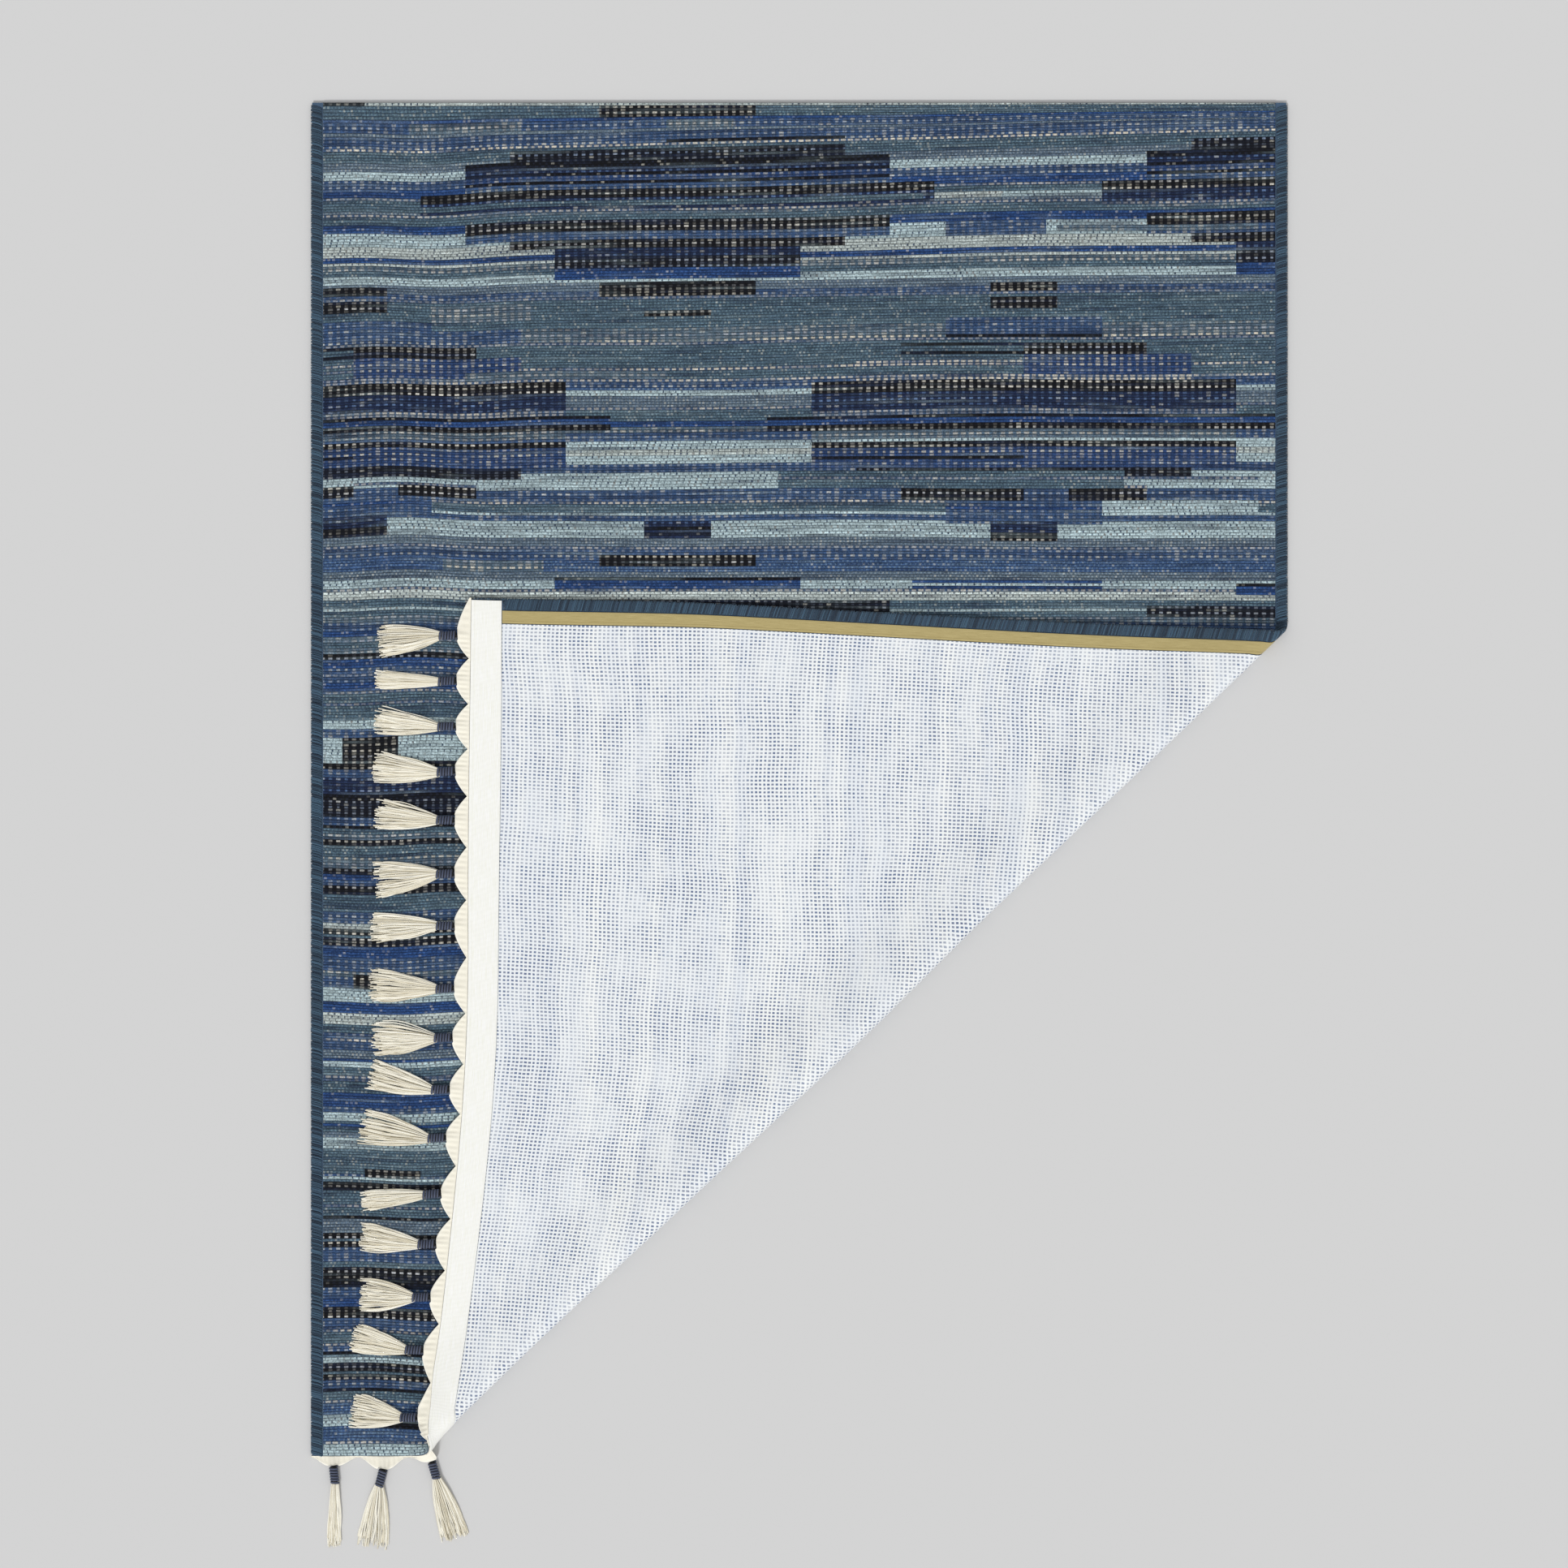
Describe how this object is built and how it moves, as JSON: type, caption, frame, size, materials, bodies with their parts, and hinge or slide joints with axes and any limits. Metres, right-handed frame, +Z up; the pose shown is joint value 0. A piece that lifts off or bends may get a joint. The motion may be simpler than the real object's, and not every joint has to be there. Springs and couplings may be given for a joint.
{
  "type": "outdoor rug",
  "caption": "Flat-woven outdoor rug lying on the floor with one corner folded over, its back tapes showing, and a tasselled fringe along one end.",
  "frame": {"origin": "a point on the cloth's back, on the floor, at the middle of the cloth's own width and length before its corner is folded", "axes": "+X towards the side that is folded, +Y away from the fringed end, along the rug, +Z up from the floor"},
  "size_m": [0.914, 1.3545, 0.0246],
  "materials": {
    "woven_cloth": "matt flatweave in blues and off-white",
    "serging_yarn": "matt overcast yarn",
    "gold_tape": "matt woven tape",
    "white_tape": "matt cotton tape",
    "fringe_yarn": "matt cotton yarn",
    "binding_thread": "slightly glossy thread"
  },
  "bodies": {
    "root": {"rug_cloth": "woven_cloth", "serging_left": "serging_yarn", "serging_right": "serging_yarn", "gold_tape": "gold_tape", "white_tape": "white_tape", "fringe_heading": "fringe_yarn", "tassel_wrap_01": "binding_thread", "tassel_01": "fringe_yarn", "tassel_wrap_02": "binding_thread", "tassel_02": "fringe_yarn", "tassel_wrap_03": "binding_thread", "tassel_03": "fringe_yarn", "tassel_wrap_04": "binding_thread", "tassel_04": "fringe_yarn", "tassel_wrap_05": "binding_thread", "tassel_05": "fringe_yarn", "tassel_wrap_06": "binding_thread", "tassel_06": "fringe_yarn", "tassel_wrap_07": "binding_thread", "tassel_07": "fringe_yarn", "tassel_wrap_08": "binding_thread", "tassel_08": "fringe_yarn", "tassel_wrap_09": "binding_thread", "tassel_09": "fringe_yarn", "tassel_wrap_10": "binding_thread", "tassel_10": "fringe_yarn", "tassel_wrap_11": "binding_thread", "tassel_11": "fringe_yarn", "tassel_wrap_12": "binding_thread", "tassel_12": "fringe_yarn", "tassel_wrap_13": "binding_thread", "tassel_13": "fringe_yarn", "tassel_wrap_14": "binding_thread", "tassel_14": "fringe_yarn", "tassel_wrap_15": "binding_thread", "tassel_15": "fringe_yarn", "tassel_wrap_16": "binding_thread", "tassel_16": "fringe_yarn", "tassel_wrap_17": "binding_thread", "tassel_17": "fringe_yarn", "tassel_wrap_18": "binding_thread", "tassel_18": "fringe_yarn", "tassel_wrap_19": "binding_thread", "tassel_19": "fringe_yarn"}
  },
  "joints": []
}
